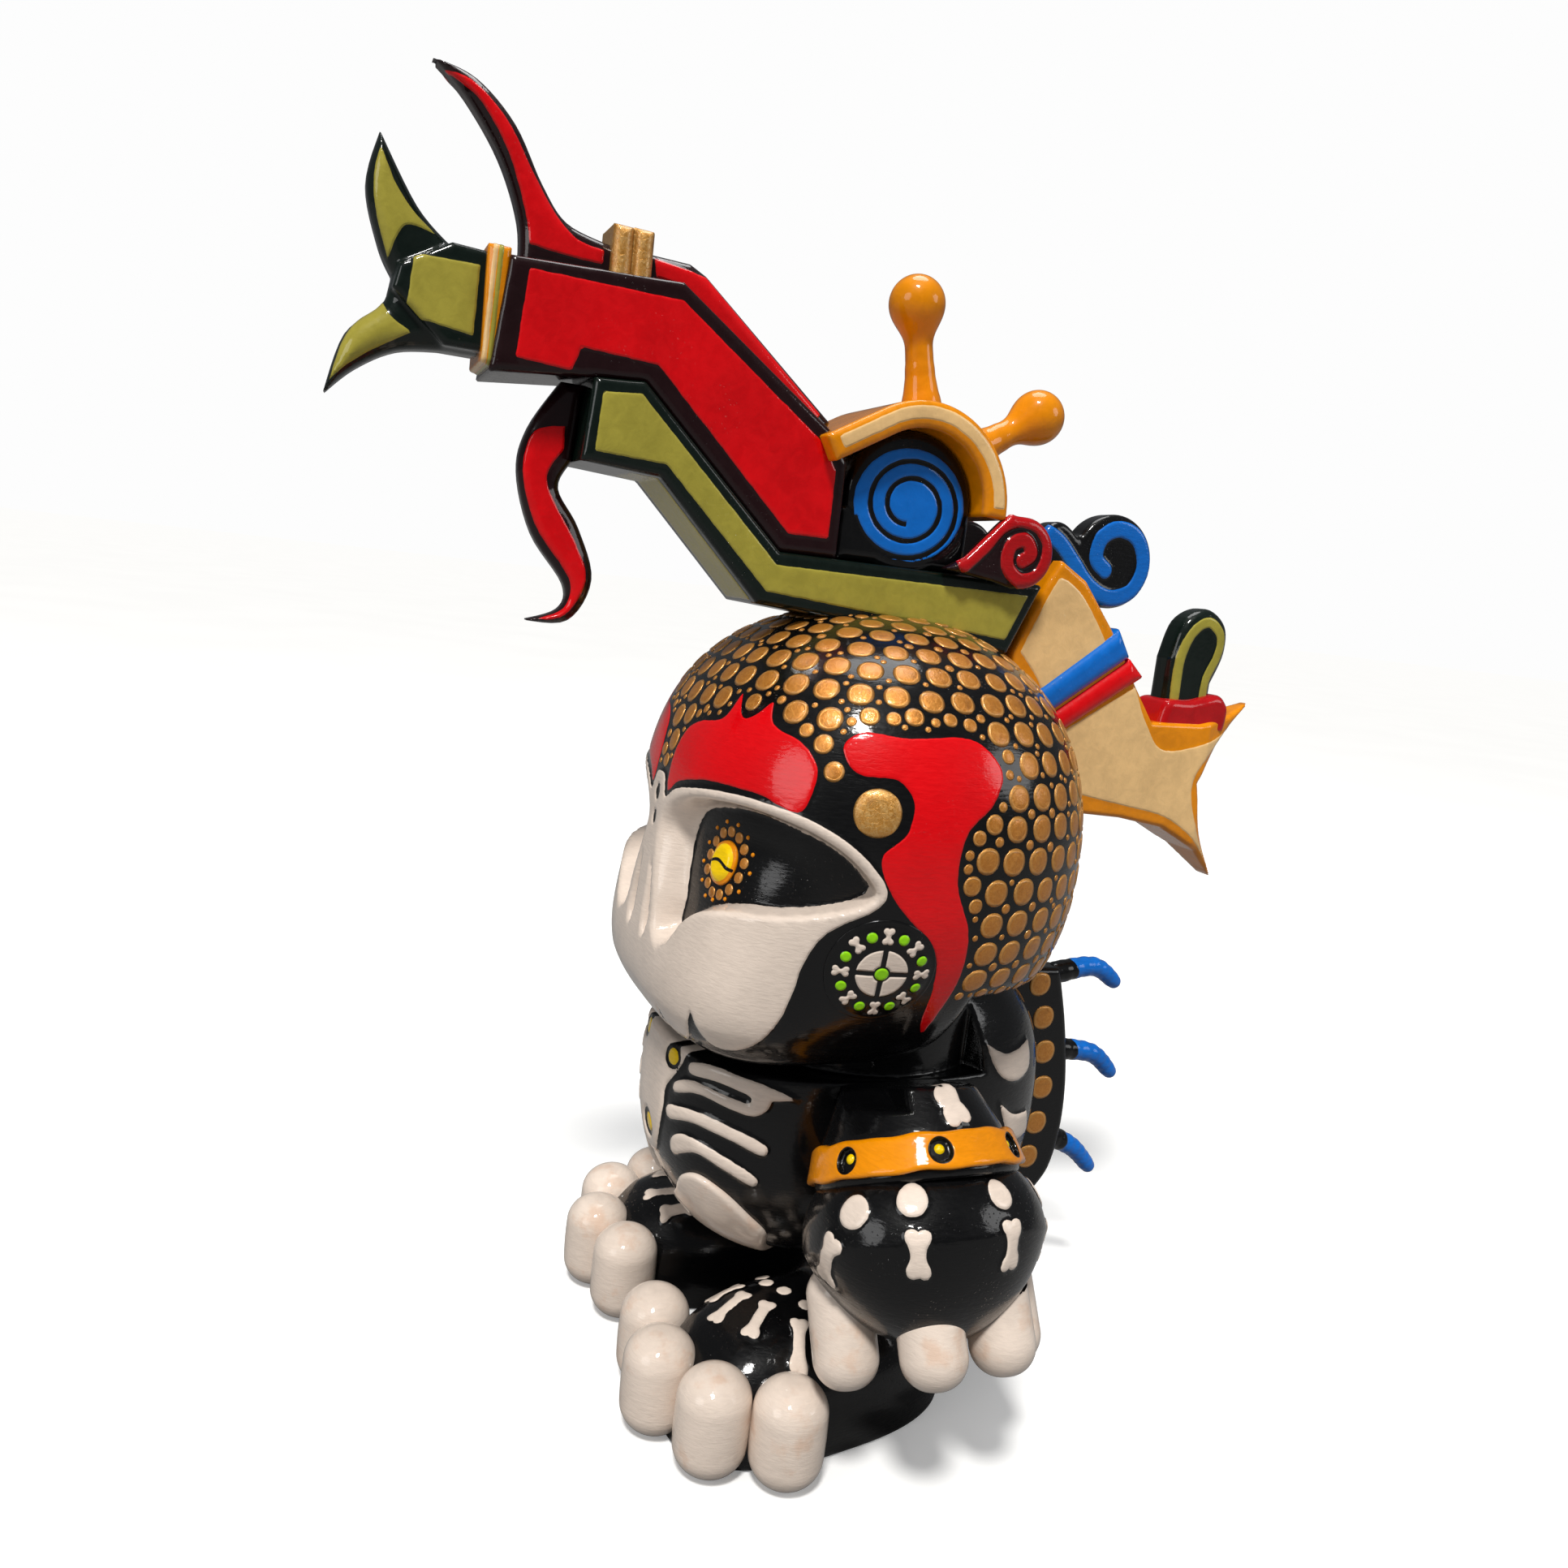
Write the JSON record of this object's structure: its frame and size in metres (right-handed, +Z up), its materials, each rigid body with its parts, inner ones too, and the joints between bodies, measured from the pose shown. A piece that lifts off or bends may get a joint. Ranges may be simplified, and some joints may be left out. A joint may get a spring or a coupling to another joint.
{
  "type": "alebrije figure",
  "caption": "Painted wooden folk-art figure with a skull head that turns on the body, paw hands and feet, a back plate and a serpent headdress.",
  "frame": {"origin": "centre of the whole figure's footprint box, on the surface it stands on", "axes": "+Z up, the figure faces -Y, its left hand is on +X"},
  "size_m": [0.2114, 0.3206, 0.37],
  "materials": {
    "bare_wood": "bare carved wood",
    "black_lacquer": "high gloss varnish",
    "blue_paint": "gloss varnish",
    "bone_white": "gloss varnish",
    "cream_paint": "satin varnish",
    "gold_paint": "metallic paint",
    "olive_paint": "satin varnish",
    "orange_paint": "gloss varnish",
    "red_paint": "gloss varnish",
    "yellow_paint": "gloss varnish"
  },
  "bodies": {
    "body": {"back_spike_1": "blue_paint", "back_spike_2": "blue_paint", "back_spike_3": "blue_paint", "dorsal_plate": "black_lacquer", "left_arm": "black_lacquer", "left_bracelet": "orange_paint", "left_bracelet_studs": "yellow_paint", "left_claw_1": "bone_white", "left_claw_2": "bone_white", "left_claw_3": "bone_white", "left_claw_4": "bone_white", "left_foot": "black_lacquer", "left_hand": "black_lacquer", "left_toe_1": "bone_white", "left_toe_2": "bone_white", "left_toe_3": "bone_white", "left_toe_4": "bone_white", "neck_dowel": "bare_wood", "pelvis_band": "bone_white", "right_arm": "black_lacquer", "right_bracelet": "orange_paint", "right_bracelet_studs": "yellow_paint", "right_claw_1": "bone_white", "right_claw_2": "bone_white", "right_claw_3": "bone_white", "right_claw_4": "bone_white", "right_foot": "black_lacquer", "right_hand": "black_lacquer", "right_toe_1": "bone_white", "right_toe_2": "bone_white", "right_toe_3": "bone_white", "right_toe_4": "bone_white", "shoulder_pegs": "bare_wood", "torso": "black_lacquer"},
    "head": {"blue_band": "blue_paint", "blue_curl": "blue_paint", "brow_arch": "orange_paint", "crest_rings": "gold_paint", "eye_block": "black_lacquer", "fang": "red_paint", "headdress_pegs": "bare_wood", "hook_collar": "red_paint", "knob_1": "orange_paint", "knob_2": "orange_paint", "left_ear_disc": "black_lacquer", "left_eye": "yellow_paint", "left_red_curl": "red_paint", "lower_jaw": "olive_paint", "nose_crest": "red_paint", "plume": "cream_paint", "plume_hook": "olive_paint", "red_band": "red_paint", "right_ear_disc": "black_lacquer", "right_eye": "yellow_paint", "right_red_curl": "red_paint", "skull": "black_lacquer", "temple_discs": "gold_paint", "tongue": "olive_paint", "tongue_collar": "orange_paint", "upper_jaw": "red_paint"}
  },
  "joints": [
    {"name": "head_turn", "type": "hinge", "parent": "body", "child": "head", "pos_m": [0, 0.012, 0.134], "axis": [0, 0, 1], "range_deg": [-20, 20]}
  ]
}
